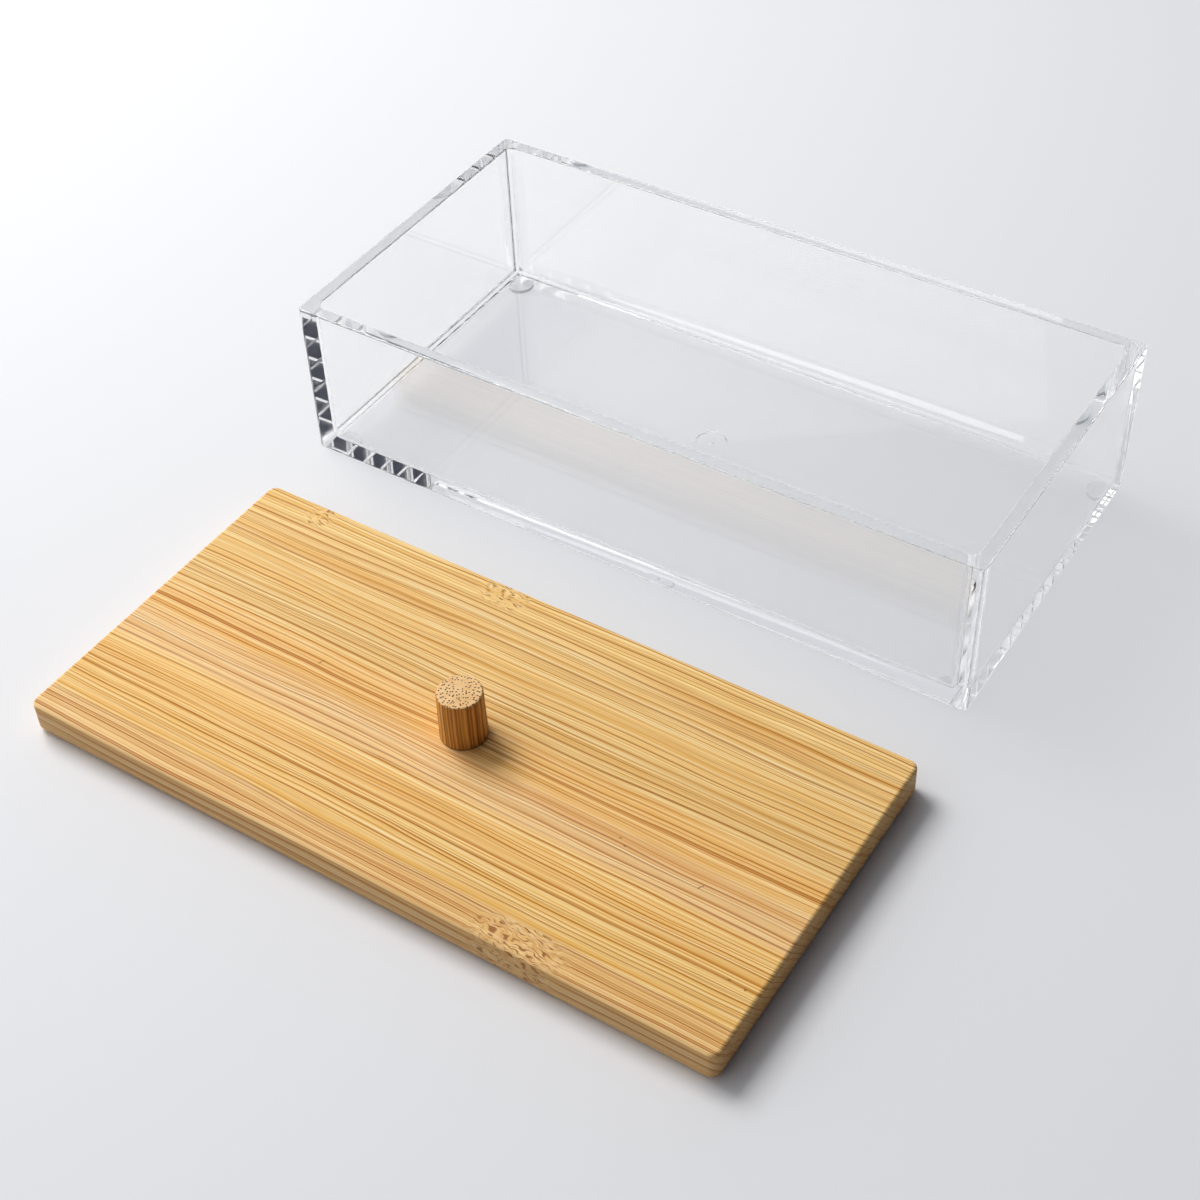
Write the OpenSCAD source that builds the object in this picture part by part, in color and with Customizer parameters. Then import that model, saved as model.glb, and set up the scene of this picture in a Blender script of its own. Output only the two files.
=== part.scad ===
// Clear acrylic storage box with a bamboo lid.
// The box stands open and its lid lies flat in front of it, knob up.
// Millimetres, +Z up. The origin is on the table, under the centre of the box.

/* [Box] */
// Outside length of the box, along X
box_l = 240; // [160:1:320]
// Outside width of the box, along Y
box_w = 118; // [90:1:160]
// Height of the moulded tray, without its feet
box_h = 57.5; // [30:0.5:100]
// Thickness of the side walls
wall = 4.6; // [3:0.1:6]
// Thickness of the floor
floor_t = 4.6; // [3:0.1:6]
// Radius of the upright corners, outside
corner_r = 2; // [2:0.1:4.5]
// Radius of the upright corners, inside
inner_r = 3; // [3:0.1:3.6]
// Fillet between the floor and the walls, inside
floor_fillet = 2.9; // [0.4:0.1:2.9]
// Rounding of the rim's two edges
rim_round = 0.6; // [0.3:0.1:0.9]
// Rounding of the bottom outer edge
base_round = 1.8; // [0.4:0.1:2]

/* [Gate mark in the floor] */
// Diameter of the shallow round recess left by the moulding gate
gate_d = 10.6; // [6:0.1:14]
// Depth of the recess
gate_depth = 0.35; // [0.1:0.05:0.6]
// Offset of the recess from the centre, along X
gate_x = -4; // [-10:0.5:10]
// Offset of the recess from the centre, along Y
gate_y = 6; // [-10:0.5:10]
// Diameter of the small nub in the middle of the recess
gate_nub_d = 1.8; // [0.8:0.1:3]

/* [Feet] */
// Diameter of a clear bumper foot
foot_d = 9.4; // [7:0.1:12]
// Height of a foot, which is the gap under the tray
foot_h = 1.5; // [1:0.1:3]
// Rounding of a foot's lower edge
foot_round = 0.6; // [0.2:0.1:0.9]
// Distance from a foot's centre to the end and to the side of the box
foot_inset = 8; // [8:0.5:20]

/* [Lid board] */
// Thickness of the board's visible edge
board_t = 9.8; // [8:0.1:14]
// How far the board is set back from the box's outside, at each end
lid_end_inset = 3.3; // [0:0.1:4]
// How far the board is set back from the box's outside, at each side
lid_side_inset = 2.3; // [0:0.1:4]
// Depth of the locating step under the board
step_h = 1.2; // [0.8:0.1:3]
// Gap between the step and the inside of the box
step_gap = 0.6; // [0.3:0.1:1.5]
// Radius of the board's upright corners
board_corner_r = 3.2; // [2.8:0.1:5]
// Rounding of the board's upper edge
board_round_top = 1.2; // [0.4:0.1:1.4]
// Rounding of the board's lower edge
board_round_low = 0.8; // [0.3:0.1:1.2]
// Width of the two outermost bamboo strips
outer_strip_w = 9.6; // [8:0.1:12]

/* [Knob] */
// Diameter of the knob where it meets the board
knob_d = 14.2; // [12:0.1:20]
// Diameter of the knob at its top
knob_top_d = 13.6; // [11:0.1:20]
// Height of the knob
knob_h = 17; // [14:0.5:30]
// Rounding of the knob's top edge
knob_round = 0.7; // [0.2:0.1:1.5]

/* [Knob screw] */
// Thread diameter
screw_d = 3.5; // [3:0.1:4]
// Length of the screw
screw_l = 20; // [18:1:22]

/* [Lid as laid down] */
// Gap between the front of the box and the lid
lid_gap = 31; // [5:0.5:80]
// Shift of the lid along X
lid_shift = 3.7; // [-60:0.1:60]

/* [Hidden] */
$fn = 64;

STRIPS = 9;
rim_z = foot_h + box_h;
floor_z = foot_h + floor_t;
lid_l = box_l - 2 * min(lid_end_inset, wall - 0.6);
lid_w = box_w - 2 * min(lid_side_inset, wall - 0.6);
step_l = box_l - 2 * wall - 2 * step_gap;
step_w = box_w - 2 * wall - 2 * step_gap;
board_z = step_h + board_t;
lid_y = -(box_w / 2 + lid_gap + lid_w / 2);
inner_strip_w = (lid_w - 2 * outer_strip_w) / (STRIPS - 2);
screw_z = 0.4;
head_r = 3.5;
hole_r = screw_d / 2 + 0.35;
pilot_r = screw_d / 2 - 0.4;
thread_pitch = 1.3;

clear_c = [0.90, 0.93, 0.95, 0.35];
foot_c = [0.82, 0.86, 0.90, 0.55];
bamboo_c = [0.86, 0.68, 0.42];
knob_c = [0.72, 0.50, 0.27];

// Lower and upper Y edge of strip i (1 is the front one), from the lid's middle
function strip_lo(i) = -lid_w / 2 + (i == 1 ? 0 : outer_strip_w + (i - 2) * inner_strip_w);
function strip_hi(i) = i == STRIPS ? lid_w / 2 : -lid_w / 2 + outer_strip_w + (i - 1) * inner_strip_w;

// A quarter disc of radius r whose centre is at [x, y], in the quadrant sx, sy
module quarter(x, y, r, sx, sy) {
    intersection() {
        translate([x, y]) circle(r);
        translate([sx > 0 ? x : x - r, sy > 0 ? y : y - r]) square(r);
    }
}

// Half section of a solid block from the middle out to hw,
// rounded by low at its lower edge and by top at its upper edge
module solid_half(hw, z0, z1, low, top) {
    translate([0, z0 + low]) square([hw, z1 - z0 - low - top]);
    translate([0, z0]) square([hw - low, low]);
    translate([0, z1 - top]) square([hw - top, top]);
    quarter(hw - low, z0 + low, low, 1, -1);
    quarter(hw - top, z1 - top, top, 1, 1);
}

// Half section of the inside of the tray, with the floor fillet
// and the flare that rounds the rim's inner edge
module hollow_half(hw) {
    f = floor_fillet;
    r = rim_round;
    translate([0, floor_z + f]) square([hw, rim_z - floor_z - f]);
    translate([0, floor_z]) square([hw - f, f]);
    quarter(hw - f, floor_z + f, f, 1, -1);
    difference() {
        translate([hw, rim_z - r]) square(r);
        translate([hw + r, rim_z - r]) circle(r);
    }
    translate([0, rim_z]) square([hw + r, 4]);
}

module section(kind, hw) {
    if (kind == "tray") solid_half(hw, foot_h, rim_z, base_round, rim_round);
    if (kind == "hollow") hollow_half(hw);
    if (kind == "board") solid_half(hw, step_h, board_z, board_round_low, board_round_top);
    if (kind == "step") square([hw, step_h + 1]);
}

// A block l by w with upright corners of radius r: two crossing bars and four turned corners
module rounded_plan(kind, l, w, r) {
    rotate([90, 0, 90]) linear_extrude(height = l - 2 * r, center = true)
        for (m = [0, 1]) mirror([m, 0]) section(kind, w / 2);
    rotate([90, 0, 0]) linear_extrude(height = w - 2 * r, center = true)
        for (m = [0, 1]) mirror([m, 0]) section(kind, l / 2);
    for (c = [[1, 1, 0], [-1, 1, 90], [-1, -1, 180], [1, -1, 270]])
        translate([c[0] * (l / 2 - r), c[1] * (w / 2 - r), 0])
            rotate([0, 0, c[2]]) rotate_extrude(angle = 90) section(kind, r);
}

// One-piece moulded tray, open at the top
module tray() {
    color(clear_c) {
        difference() {
            rounded_plan("tray", box_l, box_w, corner_r);
            rounded_plan("hollow", box_l - 2 * wall, box_w - 2 * wall, inner_r);
            translate([gate_x, gate_y, floor_z - gate_depth]) difference() {
                cylinder(d = gate_d, h = gate_depth + 0.5);
                translate([0, 0, -1]) cylinder(d = gate_nub_d, h = 1 + gate_depth * 0.8);
            }
        }
    }
}

// Clear bumper foot, stuck under a corner of the tray
module foot(sx, sy) {
    color(foot_c) translate([sx * (box_l / 2 - foot_inset), sy * (box_w / 2 - foot_inset), 0])
        rotate_extrude() {
            r = foot_d / 2;
            translate([0, foot_round]) square([r, foot_h - foot_round]);
            square([r - foot_round, foot_round]);
            quarter(r - foot_round, foot_round, foot_round, 1, -1);
        }
}

module lid_place() {
    translate([lid_shift, lid_y, 0]) children();
}

// Strip i of the glued bamboo board, between its two glue lines
module strip_body(i) {
    lo = strip_lo(i);
    hi = strip_hi(i);
    if (i == 1 || i == STRIPS) {
        intersection() {
            union() {
                rounded_plan("board", lid_l, lid_w, board_corner_r);
                rounded_plan("step", step_l, step_w, inner_r);
            }
            translate([-lid_l, lo - (i == 1 ? 5 : 0), -1])
                cube([2 * lid_l, hi - lo + 5, board_z + 2]);
        }
    } else {
        translate([0, hi, 0]) rotate([90, 0, 0]) linear_extrude(height = hi - lo)
            for (m = [0, 1]) mirror([m, 0]) {
                section("board", lid_l / 2);
                section("step", step_l / 2);
            }
    }
}

module lid_strip(i) {
    color(bamboo_c) lid_place() difference() {
        strip_body(i);
        if (i == (STRIPS + 1) / 2) {
            translate([0, 0, -1]) cylinder(r = hole_r, h = board_z + 2);
            translate([0, 0, -1]) cylinder(r1 = head_r + screw_z + 1, r2 = hole_r,
                                           h = head_r + screw_z + 1 - hole_r);
        }
    }
}

// Turned bamboo knob, with a blind pilot hole for the screw
module knob() {
    color(knob_c) lid_place() translate([0, 0, board_z]) difference() {
        rotate_extrude() {
            rb = knob_d / 2;
            rt = knob_top_d / 2;
            polygon([[0, 0], [rb, 0], [rt, knob_h - knob_round], [0, knob_h - knob_round]]);
            translate([0, knob_h - knob_round]) square([rt - knob_round, knob_round]);
            quarter(rt - knob_round, knob_h - knob_round, knob_round, 1, 1);
        }
        translate([0, 0, -1]) cylinder(r = pilot_r, h = screw_z + screw_l + 1.6 - board_z);
    }
}

// Countersunk wood screw from below, its thread drawn as rings of the same depth and pitch
module knob_screw() {
    r = screw_d / 2;
    shank_l = board_z - screw_z - 0.6;
    turns = floor((screw_l - shank_l - 2) / thread_pitch);
    tip = screw_l - shank_l - turns * thread_pitch;
    color("silver") lid_place() translate([0, 0, screw_z]) difference() {
        rotate_extrude() polygon(concat(
            [[0, 0], [head_r - 0.02, 0], [r - 0.02, head_r - r], [r - 0.02, shank_l]],
            [for (t = [0 : turns - 1], s = [0, 1])
                [s == 0 ? r - 0.65 : r, shank_l + (t + 0.2 + s * 0.5) * thread_pitch]],
            [[r - 0.65, shank_l + turns * thread_pitch], [0, shank_l + turns * thread_pitch + tip]]));
        for (a = [0, 90]) rotate([0, 0, a]) translate([-2, -0.45, -1]) cube([4, 0.9, 2.4]);
    }
}

tray();
foot(-1, -1);  // foot_front_left
foot(1, -1);  // foot_front_right
foot(-1, 1);  // foot_back_left
foot(1, 1);  // foot_back_right
lid_strip(1);  // lid_strip_1
lid_strip(2);  // lid_strip_2
lid_strip(3);  // lid_strip_3
lid_strip(4);  // lid_strip_4
lid_strip(5);  // lid_strip_5
lid_strip(6);  // lid_strip_6
lid_strip(7);  // lid_strip_7
lid_strip(8);  // lid_strip_8
lid_strip(9);  // lid_strip_9
knob();
knob_screw();
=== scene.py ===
import math
import bpy
from mathutils import Matrix, Vector
from mathutils.geometry import tessellate_polygon


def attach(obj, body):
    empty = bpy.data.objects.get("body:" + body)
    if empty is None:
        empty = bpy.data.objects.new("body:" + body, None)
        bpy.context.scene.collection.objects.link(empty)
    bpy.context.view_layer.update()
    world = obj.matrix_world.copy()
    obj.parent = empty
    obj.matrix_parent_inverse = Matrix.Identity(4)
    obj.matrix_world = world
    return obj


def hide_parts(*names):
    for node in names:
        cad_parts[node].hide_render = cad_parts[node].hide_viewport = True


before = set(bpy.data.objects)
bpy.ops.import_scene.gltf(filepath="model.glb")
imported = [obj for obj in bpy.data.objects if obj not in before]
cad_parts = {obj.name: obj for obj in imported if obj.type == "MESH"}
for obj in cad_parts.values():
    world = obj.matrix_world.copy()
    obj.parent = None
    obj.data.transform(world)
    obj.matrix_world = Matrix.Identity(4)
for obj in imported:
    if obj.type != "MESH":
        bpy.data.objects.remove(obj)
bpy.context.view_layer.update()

scene = bpy.context.scene
MM = 0.001


# ------------------------------------------------------------------ camera
def add_camera():
    """The photograph's view: solved from the edges of box and lid."""
    f_px, yaw, pitch, roll = 2030.60, math.radians(124.5233), math.radians(44.1948), math.radians(-2.6347)
    pos = Vector((0.259200, -0.446479, 0.442164))
    fwd = Vector((math.cos(yaw) * math.cos(pitch), math.sin(yaw) * math.cos(pitch), -math.sin(pitch)))
    right = Vector((math.sin(yaw), -math.cos(yaw), 0.0))
    up = right.cross(fwd)
    r2 = math.cos(roll) * right + math.sin(roll) * up
    u2 = -math.sin(roll) * right + math.cos(roll) * up
    m = Matrix((
        (r2.x, u2.x, -fwd.x, pos.x),
        (r2.y, u2.y, -fwd.y, pos.y),
        (r2.z, u2.z, -fwd.z, pos.z),
        (0, 0, 0, 1),
    ))
    cam = bpy.data.cameras.new("camera")
    cam.sensor_width = 36.0
    cam.sensor_fit = "HORIZONTAL"
    cam.lens = f_px * 36.0 / 1200.0
    cam.clip_start = 0.01
    cam.clip_end = 50.0
    ob = bpy.data.objects.new("camera", cam)
    ob.matrix_world = m
    scene.collection.objects.link(ob)
    scene.camera = ob


add_camera()


# ------------------------------------------------------------------ node helper
class Tree:
    """Short names for the shader nodes used here."""

    def __init__(self, name):
        self.mat = bpy.data.materials.new(name)
        self.mat.use_nodes = True
        self.nt = self.mat.node_tree
        self.nt.nodes.clear()
        self.out = self.nt.nodes.new("ShaderNodeOutputMaterial")

    def new(self, kind, **props):
        n = self.nt.nodes.new(kind)
        for k, v in props.items():
            setattr(n, k, v)
        return n

    def put(self, socket, v):
        if isinstance(v, bpy.types.NodeSocket):
            self.nt.links.new(v, socket)
        elif v is not None:
            if isinstance(v, tuple) and socket.type == "VECTOR":
                v = v[:3]
            socket.default_value = v

    def math(self, op, a, b=None, c=None, clamp=False):
        n = self.new("ShaderNodeMath", operation=op, use_clamp=clamp)
        for s, v in zip(n.inputs, (a, b, c)):
            self.put(s, v)
        return n.outputs[0]

    def add(self, a, b):
        return self.math("ADD", a, b)

    def sub(self, a, b):
        return self.math("SUBTRACT", a, b)

    def mul(self, a, b):
        return self.math("MULTIPLY", a, b)

    def mad(self, a, b, c):
        return self.math("MULTIPLY_ADD", a, b, c)

    def step(self, lo, hi, x, a=0.0, b=1.0, kind="SMOOTHSTEP"):
        n = self.new("ShaderNodeMapRange", interpolation_type=kind)
        self.put(n.inputs["Value"], x)
        self.put(n.inputs["From Min"], lo)
        self.put(n.inputs["From Max"], hi)
        self.put(n.inputs["To Min"], a)
        self.put(n.inputs["To Max"], b)
        return n.outputs["Result"]

    def vec(self, x, y, z):
        n = self.new("ShaderNodeCombineXYZ")
        for s, v in zip(n.inputs, (x, y, z)):
            self.put(s, v)
        return n.outputs[0]

    def split(self, v):
        n = self.new("ShaderNodeSeparateXYZ")
        self.put(n.inputs[0], v)
        return n.outputs

    def noise(self, v, scale=1.0, detail=2.0, rough=0.5, dist=0.0):
        n = self.new("ShaderNodeTexNoise", noise_dimensions="3D")
        self.put(n.inputs["Vector"], v)
        self.put(n.inputs["Scale"], scale)
        self.put(n.inputs["Detail"], detail)
        self.put(n.inputs["Roughness"], rough)
        self.put(n.inputs["Distortion"], dist)
        return n.outputs["Fac"]

    def voronoi(self, v, scale=1.0, randomness=1.0, feature="F1", dims="3D"):
        n = self.new("ShaderNodeTexVoronoi", voronoi_dimensions=dims, feature=feature)
        self.put(n.inputs["Vector"], v)
        self.put(n.inputs["Scale"], scale)
        self.put(n.inputs["Randomness"], randomness)
        return n

    def mix(self, f, a, b, blend="MIX"):
        n = self.new("ShaderNodeMix", data_type="RGBA", blend_type=blend)
        self.put(n.inputs[0], f)
        self.put(n.inputs[6], a)
        self.put(n.inputs[7], b)
        return n.outputs[2]

    def ramp(self, f, stops):
        n = self.new("ShaderNodeValToRGB")
        els = n.color_ramp.elements
        while len(els) < len(stops):
            els.new(0.5)
        for e, (p, c) in zip(els, stops):
            e.position = p
            e.color = c
        self.put(n.inputs[0], f)
        return n.outputs[0]

    def bump(self, height, dist, strength=1.0, normal=None):
        n = self.new("ShaderNodeBump")
        self.put(n.inputs["Height"], height)
        self.put(n.inputs["Distance"], dist)
        self.put(n.inputs["Strength"], strength)
        if normal is not None:
            self.put(n.inputs["Normal"], normal)
        return n.outputs[0]

    def surface(self, s):
        self.nt.links.new(s, self.out.inputs["Surface"])


def srgb(r, g, b):
    """8-bit display colour as linear RGBA."""
    f = lambda c: c / 12.92 if c <= 0.04045 else ((c + 0.055) / 1.055) ** 2.4
    return (f(r / 255), f(g / 255), f(b / 255), 1.0)


# ------------------------------------------------------------------ sizes, as in the CAD part
LID = Vector((3.7, -146.7, 0.0))          # middle of the lid, mm
STRIP_OUT = 9.6                           # width of the outer strips
LID_W = 113.4
STRIP_IN = (LID_W - 2 * STRIP_OUT) / 7


# ------------------------------------------------------------------ bamboo board
def bamboo_board():
    t = Tree("bamboo_board")
    pos = t.new("ShaderNodeTexCoord").outputs["Object"]
    n = t.new("ShaderNodeVectorMath", operation="SCALE")
    t.put(n.inputs[0], pos)
    n.inputs["Scale"].default_value = 1000.0
    x, y, z = t.split(n.outputs[0])
    u = t.sub(x, LID.x)
    v = t.sub(y, LID.y)
    w = z

    # which strip, as a whole number from 0 (front) to 8
    s_raw = t.math("DIVIDE", t.add(v, LID_W / 2 - STRIP_OUT + STRIP_IN), STRIP_IN)
    strip = t.math("FLOOR", t.math("MINIMUM", t.math("MAXIMUM", s_raw, 0.0), 8.99))
    rnd = t.new("ShaderNodeTexWhiteNoise", noise_dimensions="1D")
    t.put(rnd.inputs["W"], t.add(strip, 3.5))
    r1, r2, r3 = t.split(rnd.outputs["Color"])
    rv = rnd.outputs["Value"]

    # knuckles: where a joint of the cane crosses a strip
    def blob(u0, v0, a, b, lo=1.0, hi=0.0):
        du = t.mul(t.sub(u, u0), 1.0 / a)
        dv = t.mul(t.sub(v, v0), 1.0 / b)
        d = t.add(t.mul(du, du), t.mul(dv, dv))
        return t.step(lo, hi, d)
    outer = t.step(LID_W / 2 - STRIP_OUT - 0.25, LID_W / 2 - STRIP_OUT + 0.25, t.math("ABSOLUTE", v))
    k1 = blob(54.5, -53.5, 19.0, 9.0)
    k2 = blob(-22.0, 52.0, 11.0, 8.0)
    k3 = blob(-93.5, 52.0, 6.0, 8.0)
    knuckle = t.mul(t.math("MAXIMUM", t.math("MAXIMUM", k1, t.mul(k2, 0.8)), t.mul(k3, 0.9)), outer)

    # the grain runs along u and wanders a little
    p_wave = t.vec(t.mul(u, 1 / 95), t.mul(v, 1 / 14), t.mul(w, 1 / 14))
    wave = t.mul(t.sub(t.noise(p_wave, detail=1.0), 0.5), 2.2)
    p_fine = t.vec(t.mul(u, 1 / 22), t.mul(v, 1 / 4), t.mul(w, 1 / 4))
    fine = t.mul(t.sub(t.noise(p_fine, detail=1.0), 0.5), 0.35)
    p_kn = t.vec(t.mul(u, 1 / 5.0), t.mul(v, 1 / 2.4), t.mul(w, 1 / 2.4))
    kn_w = t.mul(t.mul(t.sub(t.noise(p_kn, detail=1.0), 0.5), 3.0), knuckle)
    off = t.add(t.add(wave, fine), kn_w)
    vv = t.add(t.add(v, off), t.mul(rv, 37.0))
    ww = t.add(t.add(w, off), t.mul(r1, 53.0))
    uu = t.add(u, t.mul(r2, 900.0))
    across = t.add(vv, t.mul(ww, 0.83))

    def coords(ku, kv):
        return t.vec(t.mul(uu, 1 / ku), t.mul(vv, 1 / kv), t.mul(ww, 1 / kv))

    def lines(pitch, width, seed, along, lo, hi):
        """Long fine lines at uneven places, each with its own strength, which fades in and out."""
        n = t.new("ShaderNodeTexVoronoi", voronoi_dimensions="1D", feature="F1")
        t.put(n.inputs["W"], t.mad(across, 1.0 / pitch, seed))
        n.inputs["Scale"].default_value = 1.0
        own = t.split(n.outputs["Color"])
        k = width / pitch
        body = t.step(k * 0.75, k * 0.25, n.outputs["Distance"])
        fade = t.noise(t.vec(t.mul(uu, 1.0 / along), t.mul(own[0], 40.0), t.mul(own[1], 40.0)), detail=1.0)
        gain = t.step(lo, hi, t.mad(own[2], 0.45, fade))
        return t.mul(body, gain)

    # long dark vessel lines, then finer ones, then fibres
    lines_a = lines(2.2, 0.42, 5.7, 90.0, 0.45, 0.85)
    lines_b = lines(1.15, 0.34, 47.9, 60.0, 0.40, 0.90)
    lines_c = lines(0.58, 0.24, 83.1, 40.0, 0.30, 0.85)
    # painted highlight: pale streaks along the grain that stand in for sheen
    painted_shine_lines = lines(2.1, 0.50, 29.7, 70.0, 0.55, 1.0)
    fibre = t.noise(coords(16, 0.26), detail=2.0, rough=0.6)
    band = t.noise(coords(420, 5.0), detail=3.0, rough=0.55)
    band2 = t.noise(coords(200, 1.9), detail=2.0, rough=0.5)

    light = srgb(255, 226, 166)
    mid = srgb(252, 210, 140)
    amber = srgb(241, 188, 106)
    col = t.ramp(band, [(0.32, light), (0.50, mid), (0.70, amber)])
    col = t.mix(t.step(0.48, 0.72, band2, 0.0, 0.55), col, srgb(238, 182, 96))
    col = t.mix(t.step(0.35, 0.7, fibre, 0.0, 0.30), col, srgb(238, 188, 110))
    col = t.mix(t.step(0.55, 0.3, fibre, 0.0, 0.30), col, srgb(255, 238, 190))
    # painted highlight: the pale sheen streaks are mixed into the colour
    col = t.mix(t.mul(painted_shine_lines, 0.45), col, srgb(255, 240, 194))

    # darker stretches that the photo shows
    def streak(u0, v0, a, b, k):
        return t.mul(blob(u0, v0, a, b), k)
    dark = t.math("MAXIMUM", streak(85, 43.5, 70, 3.2, 0.75), streak(-60, 36.0, 60, 3.0, 0.45))
    dark = t.math("MAXIMUM", dark, streak(70, -9.5, 80, 4.0, 0.55))
    dark = t.math("MAXIMUM", dark, streak(-10, -27.0, 55, 3.5, 0.35))
    dark = t.math("MAXIMUM", dark, streak(90, 16.0, 50, 3.0, 0.45))
    dark = t.mul(dark, t.step(0.25, 0.6, band2))
    col = t.mix(dark, col, srgb(224, 156, 66))

    plain = t.sub(1.0, t.mul(knuckle, 0.8))
    col = t.mix(t.mul(t.mul(lines_c, 0.60), plain), col, srgb(218, 158, 74))
    col = t.mix(t.mul(t.mul(lines_b, 0.80), plain), col, srgb(202, 136, 52))
    col = t.mix(t.mul(t.mul(lines_a, 0.85), plain), col, srgb(176, 104, 20))

    # knuckle: warmer ground with short dark dashes that lean across the grain
    col = t.mix(t.mul(knuckle, 0.30), col, srgb(232, 172, 88))
    lean = t.add(t.add(vv, t.mul(ww, 0.83)), t.mul(uu, 0.16))
    dashes = t.noise(t.vec(t.mul(uu, 1 / 3.0), t.mul(lean, 1 / 0.55), 0.0), detail=1.0, rough=0.4)
    gate = t.step(0.15, 0.75, t.add(knuckle, t.mul(t.sub(t.noise(p_kn, detail=2.0), 0.5), 0.9)))
    gate = t.mul(gate, t.step(0.02, 0.3, knuckle))
    dash = t.mul(t.step(0.53, 0.66, dashes), gate)
    # painted highlight: pale glints beside the dark dashes at the knuckles
    painted_glint = t.mul(t.step(0.46, 0.34, dashes), gate)
    col = t.mix(t.mul(painted_glint, 0.45), col, srgb(255, 222, 160))
    col = t.mix(t.mul(dash, 0.85), col, srgb(150, 84, 20))

    # specks
    def speck(u0, v0, a, b, lean):
        du = t.sub(u, u0)
        dv = t.sub(v, v0)
        c, s = math.cos(lean), math.sin(lean)
        p = t.mul(t.add(t.mul(du, c), t.mul(dv, s)), 1 / a)
        q = t.mul(t.sub(t.mul(dv, c), t.mul(du, s)), 1 / b)
        return t.step(1.0, 0.3, t.add(t.mul(p, p), t.mul(q, q)))
    specks = None
    for s in ((-53.0, 0.6, 0.9, 0.28, 1.2), (-52.4, 1.6, 0.5, 0.25, 0.5), (86.0, -13.0, 0.9, 0.25, 1.1),
              (86.6, -12.1, 0.4, 0.3, 0.0), (59.0, -9.6, 0.5, 0.3, 0.6), (61.5, -11.3, 0.6, 0.3, 0.0),
              (112.5, -35.0, 0.45, 0.4, 0.3), (107.5, -34.4, 0.7, 0.25, 0.1)):
        k = speck(*s)
        specks = k if specks is None else t.math("MAXIMUM", specks, k)
    specks = t.mul(specks, t.step(9.0, 10.5, w))
    col = t.mix(t.mul(specks, 0.7), col, srgb(120, 70, 28))

    # glue lines between the strips
    a_v = t.math("ABSOLUTE", v)
    seam = t.step(0.10, 0.02, t.math("ABSOLUTE", t.sub(a_v, LID_W / 2 - STRIP_OUT)))
    m = t.math("PINGPONG", t.add(v, STRIP_IN / 2 + 10 * STRIP_IN), STRIP_IN / 2)
    seam_in = t.mul(t.step(0.06, 0.01, t.sub(STRIP_IN / 2, m)), t.step(LID_W / 2 - STRIP_OUT, LID_W / 2 - STRIP_OUT - 1, a_v))
    broken = t.step(0.35, 0.65, t.noise(t.vec(t.mul(u, 1 / 12), strip, 0.0)))
    col = t.mix(t.mul(t.mul(seam, broken), 0.5), col, srgb(170, 112, 48))
    col = t.mix(t.mul(t.mul(seam_in, broken), 0.3), col, srgb(176, 120, 56))

    # strips differ a little in tone
    tone = t.new("ShaderNodeHueSaturation")
    t.put(tone.inputs["Hue"], t.mad(r3, 0.008, 0.496))
    t.put(tone.inputs["Saturation"], t.mad(r2, 0.10, 0.95))
    t.put(tone.inputs["Value"], t.mad(r1, 0.07, 0.965))
    t.put(tone.inputs["Color"], col)
    col = tone.outputs[0]

    # cut ends of the bundles on the two end faces
    nor = t.split(t.new("ShaderNodeTexCoord").outputs["Normal"])
    end = t.step(0.55, 0.9, t.math("ABSOLUTE", nor[0]))
    dots = t.voronoi(t.vec(t.mul(v, 1 / 0.95), t.mul(w, 1 / 0.8), t.mul(u, 1 / 40)))
    dot = t.step(0.36, 0.20, dots.outputs["Distance"])
    # painted shade: faces that stand steeply, the sides and ends of the strips, are darkened
    edge = t.step(0.75, 0.25, t.math("ABSOLUTE", nor[2]))
    col = t.mix(t.mul(edge, 0.40), col, srgb(150, 96, 36))
    col = t.mix(t.mul(end, 0.40), col, srgb(205, 158, 98))
    col = t.mix(t.mul(t.mul(dot, end), 0.45), col, srgb(150, 100, 50))

    p = t.new("ShaderNodeBsdfPrincipled")
    t.put(p.inputs["Base Color"], col)
    rough = t.add(t.mad(fibre, 0.16, 0.42), t.mul(lines_a, 0.12))
    t.put(p.inputs["Roughness"], rough)
    p.inputs["IOR"].default_value = 1.45
    p.inputs["Specular IOR Level"].default_value = 0.22
    h = t.sub(t.mul(fibre, 0.35), t.add(t.mul(lines_a, 1.0), t.mul(lines_b, 0.6)))
    h = t.sub(h, t.mul(lines_c, 0.3))
    h = t.sub(h, t.mul(dash, 1.0))
    h = t.sub(h, t.mul(t.add(seam, t.mul(specks, 1.5)), 0.6))
    t.put(p.inputs["Normal"], t.bump(h, 0.00003, 0.9))
    t.surface(p.outputs[0])
    return t.mat


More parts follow.
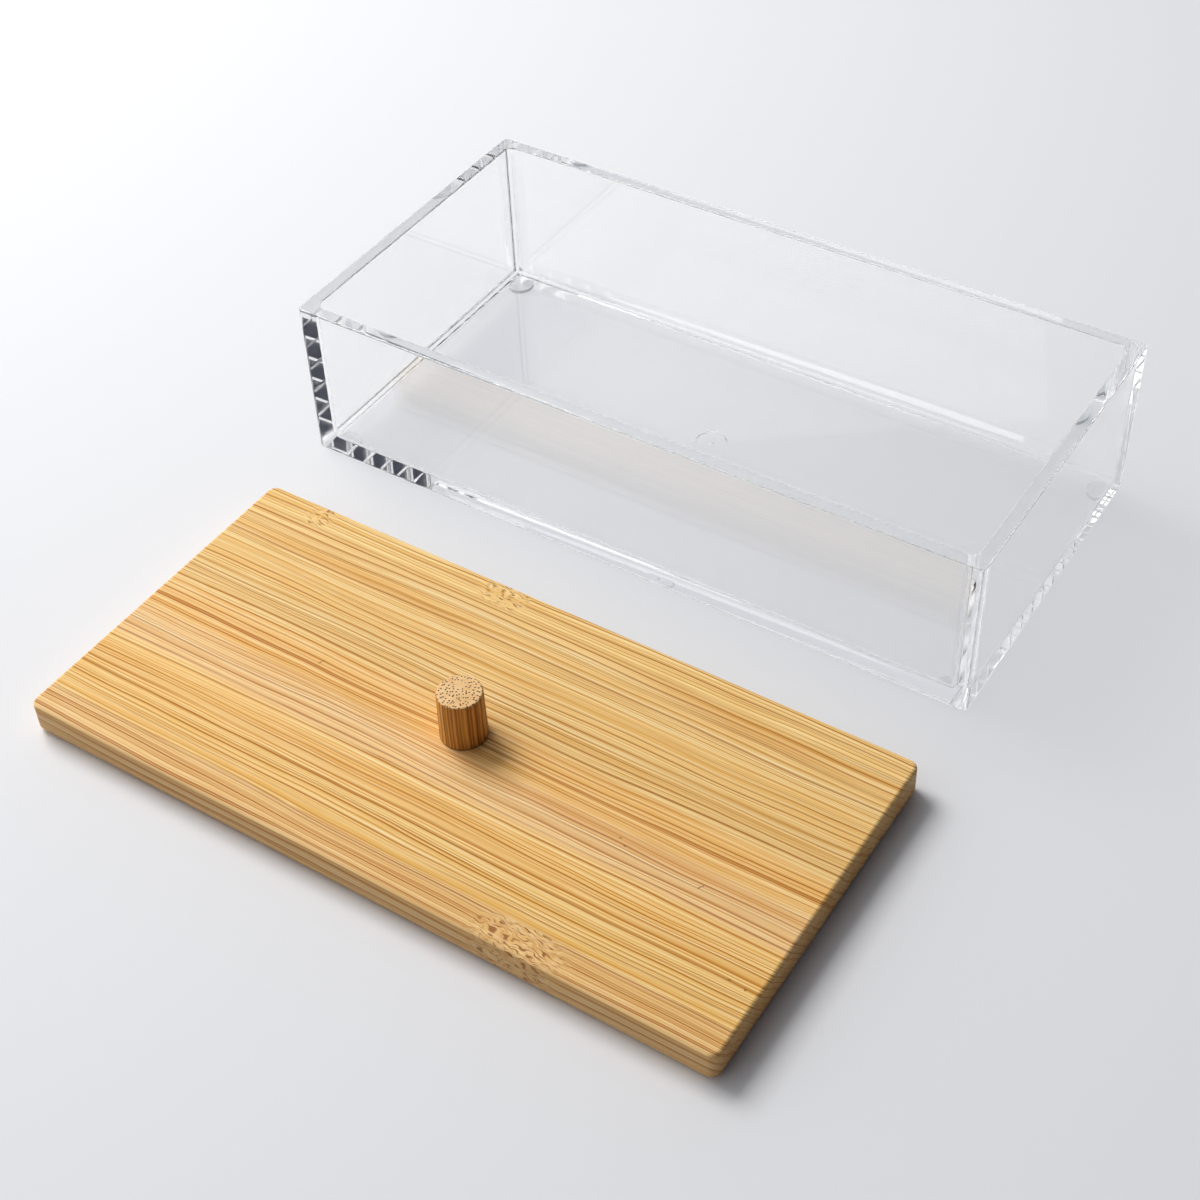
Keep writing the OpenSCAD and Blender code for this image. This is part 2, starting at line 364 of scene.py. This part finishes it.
# ------------------------------------------------------------------ bamboo knob
def bamboo_knob():
    t = Tree("bamboo_knob")
    n = t.new("ShaderNodeVectorMath", operation="SCALE")
    t.put(n.inputs[0], t.new("ShaderNodeTexCoord").outputs["Object"])
    n.inputs["Scale"].default_value = 1000.0
    x, y, z = t.split(n.outputs[0])
    u = t.sub(x, LID.x)
    v = t.sub(y, LID.y)
    w = t.sub(z, 11.0)
    lean = t.mul(t.sub(t.noise(t.vec(t.mul(u, 1 / 6), t.mul(v, 1 / 6), t.mul(w, 1 / 18)), detail=1.0), 0.5), 1.6)
    uu = t.add(u, lean)
    vv = t.add(v, t.mul(lean, 0.6))
    # bundles: dots on the top, stripes down the side
    cells = t.voronoi(t.vec(t.mul(uu, 1 / 1.12), t.mul(vv, 1 / 1.12), 0.0), randomness=0.8, dims="2D")
    d = cells.outputs["Distance"]
    bu, bv = t.mul(t.add(u, 1.4), 1 / 1.7), t.mul(t.sub(v, 2.2), 1 / 1.7)
    bare = t.step(1.3, 0.5, t.add(t.mul(bu, bu), t.mul(bv, bv)))
    bundle = t.mul(t.step(0.31, 0.19, d), t.sub(1.0, t.mul(bare, 0.8)))
    halo = t.step(0.48, 0.28, d)
    nor = t.split(t.new("ShaderNodeTexCoord").outputs["Normal"])
    top = t.step(0.55, 0.9, nor[2])
    fibre = t.noise(t.vec(t.mul(uu, 1 / 0.3), t.mul(vv, 1 / 0.3), t.mul(w, 1 / 25)), detail=2.0)
    patch = t.noise(t.vec(t.mul(uu, 1 / 3.0), t.mul(vv, 1 / 3.0), t.mul(w, 1 / 60)), detail=2.0)
    round_ = t.mul(t.math("ARCTAN2", v, u), 7.0)
    round_ = t.add(round_, t.mul(lean, 0.9))

    def stripes(pitch, width, seed):
        n = t.new("ShaderNodeTexVoronoi", voronoi_dimensions="1D", feature="F1")
        t.put(n.inputs["W"], t.mad(round_, 1.0 / pitch, seed))
        n.inputs["Scale"].default_value = 1.0
        n.inputs["Randomness"].default_value = 0.75
        k = width / pitch
        own = t.split(n.outputs["Color"])
        return t.mul(t.step(k * 0.8, k * 0.25, n.outputs["Distance"]), t.mad(own[0], 0.6, 0.4))
    wide = stripes(1.15, 0.62, 17.3)
    thin = stripes(0.52, 0.30, 71.9)

    side = t.ramp(patch, [(0.25, srgb(238, 186, 108)), (0.5, srgb(222, 166, 86)), (0.75, srgb(204, 146, 68))])
    side = t.mix(t.step(0.4, 0.7, fibre, 0.0, 0.30), side, srgb(190, 128, 52))
    side = t.mix(t.mul(thin, 0.55), side, srgb(176, 112, 42))
    side = t.mix(t.mul(wide, 0.90), side, srgb(138, 78, 22))
    ground = t.ramp(patch, [(0.3, srgb(250, 208, 148)), (0.7, srgb(232, 182, 116))])
    ground = t.mix(t.mul(halo, 0.55), ground, srgb(255, 226, 176))
    ground = t.mix(bundle, ground, srgb(122, 62, 8))
    stripe = t.mul(wide, t.sub(1.0, top))
    col = t.mix(top, side, ground)
    # painted shade: a dark line at the foot, where the knob meets the lid
    foot = t.step(0.75, 0.1, t.add(w, t.mul(t.sub(fibre, 0.5), 0.4)))
    col = t.mix(t.mul(foot, 0.7), col, srgb(92, 50, 18))

    p = t.new("ShaderNodeBsdfPrincipled")
    t.put(p.inputs["Base Color"], col)
    t.put(p.inputs["Roughness"], t.mad(fibre, 0.18, 0.38))
    p.inputs["IOR"].default_value = 1.46
    p.inputs["Specular IOR Level"].default_value = 0.22
    h = t.sub(t.mul(fibre, 0.3), t.add(t.mul(bundle, top), stripe))
    t.put(p.inputs["Normal"], t.bump(h, 0.00003, 0.9))
    t.surface(p.outputs[0])
    return t.mat


# ------------------------------------------------------------------ clear acrylic
def clear(name, ior, tint, milk=0.0):
    """Solid clear plastic. Lamps and light from diffuse surfaces pass straight through, tinted."""
    t = Tree(name)

    def blend(f, a, b):
        m = t.new("ShaderNodeMixShader")
        t.put(m.inputs[0], f)
        t.put(m.inputs[1], a)
        t.put(m.inputs[2], b)
        return m.outputs[0]

    g = t.new("ShaderNodeBsdfPrincipled")
    g.inputs["Base Color"].default_value = (1, 1, 1, 1)
    g.inputs["Roughness"].default_value = 0.0
    g.inputs["IOR"].default_value = ior
    g.inputs["Transmission Weight"].default_value = 1.0 - milk
    passed = t.new("ShaderNodeBsdfTransparent")
    passed.inputs["Color"].default_value = tint
    path = t.new("ShaderNodeLightPath")
    body = blend(path.outputs["Is Diffuse Ray"], g.outputs[0], passed.outputs[0])
    body = blend(path.outputs["Is Shadow Ray"], body, passed.outputs[0])
    t.surface(body)
    return t.mat


def steel():
    t = Tree("screw_steel")
    pos = t.new("ShaderNodeTexCoord").outputs["Object"]
    f = t.noise(pos, scale=2500.0, detail=3.0)
    p = t.new("ShaderNodeBsdfPrincipled")
    t.put(p.inputs["Base Color"], t.ramp(f, [(0.3, (0.42, 0.42, 0.43, 1)), (0.7, (0.62, 0.62, 0.63, 1))]))
    p.inputs["Metallic"].default_value = 1.0
    t.put(p.inputs["Roughness"], t.mad(f, 0.25, 0.22))
    t.put(p.inputs["Normal"], t.bump(f, 0.00001, 0.5))
    t.surface(p.outputs[0])
    return t.mat


# ------------------------------------------------------------------ tray
def loop_points(hx, hy, r, z, seg):
    """Corner-rounded rectangle, counter-clockwise from above, with its outward directions."""
    pts, dirs = [], []
    for cx, cy, a0 in ((1, 1, 0), (-1, 1, 90), (-1, -1, 180), (1, -1, 270)):
        for i in range(seg + 1):
            a = math.radians(a0 + 90.0 * i / seg)
            c, s = math.cos(a), math.sin(a)
            pts.append(Vector((cx * (hx - r) + r * c, cy * (hy - r) + r * s, z)))
            dirs.append((c, s))
    return pts, dirs


def build_tray():
    """The moulded tray as one closed skin of rounded loops, with exact normals."""
    L, W, Z0, Z1 = 240.0, 118.0, 1.5, 59.0
    wall, floor_t = 4.6, 4.6
    rc, ri, rb, rr, rf = 2.0, 3.0, 1.8, 0.6, 2.9
    zf = Z0 + floor_t
    seg, n_edge = 16, 12
    verts, normals, faces = [], [], []

    def add_loop(hx, hy, r, z, nr, nz):
        pts, dirs = loop_points(hx, hy, r, z, seg)
        ids = []
        for p, (c, s) in zip(pts, dirs):
            ids.append(len(verts))
            verts.append(p)
            normals.append(Vector((c * nr, s * nr, nz)))
        return ids

    loops = []
    hx, hy = L / 2, W / 2
    for i in range(n_edge + 1):                       # bottom outer edge
        a = math.radians(90.0 * i / n_edge)
        d = rb * (1 - math.sin(a))
        loops.append(add_loop(hx - d, hy - d, rc - d, Z0 + rb * (1 - math.cos(a)), math.sin(a), -math.cos(a)))
    for k in range(1, 8):
        loops.append(add_loop(hx, hy, rc, Z0 + rb + (Z1 - rr - Z0 - rb) * k / 8, 1, 0))
    for i in range(n_edge + 1):                       # outer rim edge
        a = math.radians(90.0 * i / n_edge)
        d = rr * (1 - math.cos(a))
        loops.append(add_loop(hx - d, hy - d, rc - d, Z1 - rr + rr * math.sin(a), math.cos(a), math.sin(a)))
    ix, iy = hx - wall, hy - wall
    for i in range(n_edge + 1):                       # inner rim edge
        a = math.radians(90.0 * i / n_edge)
        d = rr * (1 - math.sin(a))
        loops.append(add_loop(ix + d, iy + d, ri + d, Z1 - rr + rr * math.cos(a), -math.sin(a), math.cos(a)))
    for k in range(1, 8):
        loops.append(add_loop(ix, iy, ri, Z1 - rr - (Z1 - rr - zf - rf) * k / 8, -1, 0))
    for i in range(n_edge + 1):                       # floor fillet
        a = math.radians(90.0 * i / n_edge)
        d = rf * (1 - math.cos(a))
        loops.append(add_loop(ix - d, iy - d, ri - d, zf + rf - rf * math.sin(a), -math.cos(a), math.sin(a)))
    for lo, hi in zip(loops, loops[1:]):
        n = len(lo)
        for j in range(n):
            a, b = lo[j], lo[(j + 1) % n]
            c, d = hi[(j + 1) % n], hi[j]
            faces.append((a, b, c, d))
    faces.append(tuple(reversed(loops[0])))           # underside

    # gate mark: shallow dish with a nub
    gx, gy, gd, gr, nub = -4.0, 6.0, 0.35, 5.3, 0.9
    prof = []
    for i in range(5):
        a = math.radians(90.0 * i / 4)
        prof.append((gr - 0.12 * math.sin(a), zf - 0.12 * (1 - math.cos(a)), -math.sin(a), math.cos(a)))
    for i in range(5):
        a = math.radians(90.0 * i / 4)
        prof.append((gr - 0.12 - 0.22 * (1 - math.cos(a)), zf - gd + 0.22 - 0.22 * math.sin(a), -math.cos(a), math.sin(a)))
    for i in range(5):
        a = math.radians(90.0 * i / 4)
        prof.append((nub + 0.15 - 0.15 * math.sin(a), zf - gd + 0.15 * (1 - math.cos(a)), math.sin(a), math.cos(a)))
    for i in range(5):
        a = math.radians(90.0 * i / 4)
        prof.append((nub - 0.13 * (1 - math.cos(a)), zf - gd + 0.15 + 0.13 * math.sin(a), math.cos(a), math.sin(a)))
    N = 64
    rings = []
    for r, z, nr, nz in prof:
        ids = []
        for j in range(N):
            a = 2 * math.pi * j / N
            ids.append(len(verts))
            verts.append(Vector((gx + r * math.cos(a), gy + r * math.sin(a), z)))
            normals.append(Vector((nr * math.cos(a), nr * math.sin(a), nz)))
        rings.append(ids)
    for lo, hi in zip(rings, rings[1:]):
        for j in range(N):
            faces.append((lo[j], lo[(j + 1) % N], hi[(j + 1) % N], hi[j]))
    faces.append(tuple(rings[-1]))
    rim, hole = loops[-1], rings[0]
    flat = tessellate_polygon([[verts[i] for i in rim], [verts[i] for i in hole]])
    every = list(rim) + list(hole)
    for tri in flat:
        a, b, c = (every[i] for i in tri)
        up = (verts[b] - verts[a]).cross(verts[c] - verts[a]).z
        faces.append((a, b, c) if up > 0 else (a, c, b))

    me = bpy.data.meshes.new("tray_clear")
    me.from_pydata([v * MM for v in verts], [], faces)
    me.validate()
    me.polygons.foreach_set("use_smooth", [True] * len(me.polygons))
    me.normals_split_custom_set_from_vertices([n.normalized() for n in normals])
    ob = bpy.data.objects.new("tray_clear", me)
    scene.collection.objects.link(ob)
    return ob


acrylic = clear("clear_acrylic", 1.49, (0.93, 0.935, 0.94, 1))
foot_mat = clear("clear_foot", 1.46, (0.90, 0.91, 0.92, 1), milk=0.45)

tray = build_tray()
tray.data.materials.append(acrylic)
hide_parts("tray")
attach(tray, "box")


def build_foot(name, cx, cy):
    """A clear bumper: low dome with a soft shoulder, a hair under the tray."""
    r, top = 4.7, 1.46
    prof = [(0.0, top, 0, 1), (r - 0.15, top, 0, 1), (r - 0.04, top - 0.04, 0.7, 0.7), (r, top - 0.15, 1, 0), (r, 0.6, 1, 0)]
    for i in range(1, 9):
        a = math.radians(90.0 * i / 8)
        prof.append((r - 0.6 * (1 - math.cos(a)), 0.6 - 0.6 * math.sin(a), math.cos(a), -math.sin(a)))
    prof.append((0.0, 0.0, 0, -1))
    N = 64
    verts, normals, faces, rings = [], [], [], []
    for r_, z, nr, nz in prof:
        ids = []
        for j in range(1 if r_ == 0 else N):
            a = 2 * math.pi * j / N
            ids.append(len(verts))
            verts.append(Vector((cx + r_ * math.cos(a), cy + r_ * math.sin(a), z)) * MM)
            normals.append(Vector((nr * math.cos(a), nr * math.sin(a), nz)).normalized())
        rings.append(ids)
    for lo, hi in zip(rings, rings[1:]):
        for j in range(N):
            k = (j + 1) % N
            if len(lo) == 1:
                faces.append((lo[0], hi[j], hi[k]))
            elif len(hi) == 1:
                faces.append((lo[j], hi[0], lo[k]))
            else:
                faces.append((lo[k], lo[j], hi[j], hi[k]))
    me = bpy.data.meshes.new(name)
    me.from_pydata(verts, [], faces)
    me.validate()
    me.polygons.foreach_set("use_smooth", [True] * len(me.polygons))
    me.normals_split_custom_set_from_vertices(normals)
    ob = bpy.data.objects.new(name, me)
    scene.collection.objects.link(ob)
    me.materials.append(foot_mat)
    return ob


for name, sx, sy in (("front_left", -1, -1), ("front_right", 1, -1), ("back_left", -1, 1), ("back_right", 1, 1)):
    foot = build_foot("bumper_" + name, sx * 112.0, sy * 51.0)
    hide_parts("foot_" + name)
    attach(foot, "box")


# ------------------------------------------------------------------ lid materials
board = bamboo_board()
for i in range(1, 10):
    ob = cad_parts["lid_strip_%d" % i]
    for s in ob.material_slots:
        s.material = board
knob_mat = bamboo_knob()
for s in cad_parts["knob"].material_slots:
    s.material = knob_mat
screw_mat = steel()
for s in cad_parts["knob_screw"].material_slots:
    s.material = screw_mat


# ------------------------------------------------------------------ floor
def add_floor():
    me = bpy.data.meshes.new("floor")
    s = 6.0
    me.from_pydata([(-s, -s, 0), (s, -s, 0), (s, s, 0), (-s, s, 0)], [], [(0, 1, 2, 3)])
    ob = bpy.data.objects.new("floor", me)
    scene.collection.objects.link(ob)
    t = Tree("floor_paper")
    p = t.new("ShaderNodeBsdfPrincipled")
    p.inputs["Base Color"].default_value = (0.84, 0.84, 0.845, 1)
    p.inputs["Roughness"].default_value = 0.75
    p.inputs["Specular IOR Level"].default_value = 0.25
    t.surface(p.outputs[0])
    me.materials.append(t.mat)


add_floor()


# ------------------------------------------------------------------ light
def area(name, pos, aim, size, power, colour=(1, 1, 1), size_y=None):
    li = bpy.data.lights.new(name, "AREA")
    li.shape = "RECTANGLE"
    li.size = size
    li.size_y = size_y or size
    li.energy = power
    li.color = colour
    ob = bpy.data.objects.new(name, li)
    ob.location = Vector(pos)
    ob.rotation_euler = (Vector(aim) - Vector(pos)).to_track_quat("-Z", "Y").to_euler()
    scene.collection.objects.link(ob)
    return ob


key = area("key", (-0.95, 0.10, 1.15), (-0.08, -0.12, 0.0), 0.70, 17.2)
key.visible_transmission = False
# two cards that only the gloss and the clear edges see
for name, pos, power in (("card_left", (-0.75, -1.00, 0.80), 4.0), ("card_right", (0.95, 0.35, 0.55), 3.5)):
    card = area(name, pos, (0.0, 0.0, 0.03), 0.9, power, size_y=0.5)
    card.visible_diffuse = False


def studio():
    """Soft surround: a wide white wall of light on the left with a soft grey panel high up and a dim gap low down,
    a dim ceiling and a dark room on the right."""
    world = bpy.data.worlds.new("studio")
    scene.world = world
    world.use_nodes = True
    nt = world.node_tree
    nt.nodes.clear()
    t = Tree.__new__(Tree)
    t.nt = nt
    out = nt.nodes.new("ShaderNodeOutputWorld")
    x, y, z = t.split(t.new("ShaderNodeTexCoord").outputs["Generated"])
    flat = t.math("SQRT", t.math("MAXIMUM", t.sub(1.0, t.mul(z, z)), 1e-4))
    turn = t.math("DIVIDE", x, flat)
    side = t.step(-0.05, -0.35, turn)
    side = t.mul(side, t.mul(t.step(0.03, 0.12, z), t.step(0.96, 0.88, z)))
    right = t.mul(t.step(0.0, 0.35, turn), t.step(0.93, 0.83, z))
    dim = t.mix(right, (0.16, 0.165, 0.18, 1), (0.010, 0.014, 0.028, 1))
    front = t.step(0.75, -0.35, t.math("DIVIDE", y, flat))
    wall = t.mix(front, (0.80, 0.82, 0.85, 1), (1.00, 1.00, 1.01, 1))
    col = t.mix(side, dim, wall)

    def window(lo, hi, q, soft=1.0):
        return t.mul(t.step(lo - soft, lo + soft, q), t.step(hi + soft, hi - soft, q))

    # a soft grey panel high up, and a dim gap low down
    panel = t.mul(window(0.62, 0.93, z, 0.04), window(-0.97, -0.25, turn, 0.05))
    col = t.mix(t.mul(panel, 0.6), col, (0.35, 0.36, 0.39, 1))
    low = t.mul(window(0.36, 0.57, z, 0.03), window(-0.80, -0.30, turn, 0.05))
    col = t.mix(t.mul(low, 0.8), col, (0.12, 0.13, 0.17, 1))

    bg = nt.nodes.new("ShaderNodeBackground")
    t.put(bg.inputs["Color"], col)
    bg.inputs["Strength"].default_value = 1.22
    nt.links.new(bg.outputs[0], out.inputs["Surface"])


studio()

scene.view_settings.view_transform = "Standard"
scene.view_settings.look = "None"
scene.view_settings.exposure = 0.0
scene.cycles.max_bounces = 64
scene.cycles.transmission_bounces = 64
scene.cycles.glossy_bounces = 64
scene.cycles.diffuse_bounces = 4
scene.cycles.transparent_max_bounces = 32
scene.cycles.caustics_reflective = False
scene.cycles.caustics_refractive = False
scene.cycles.blur_glossy = 0.0
scene.cycles.use_denoising = True
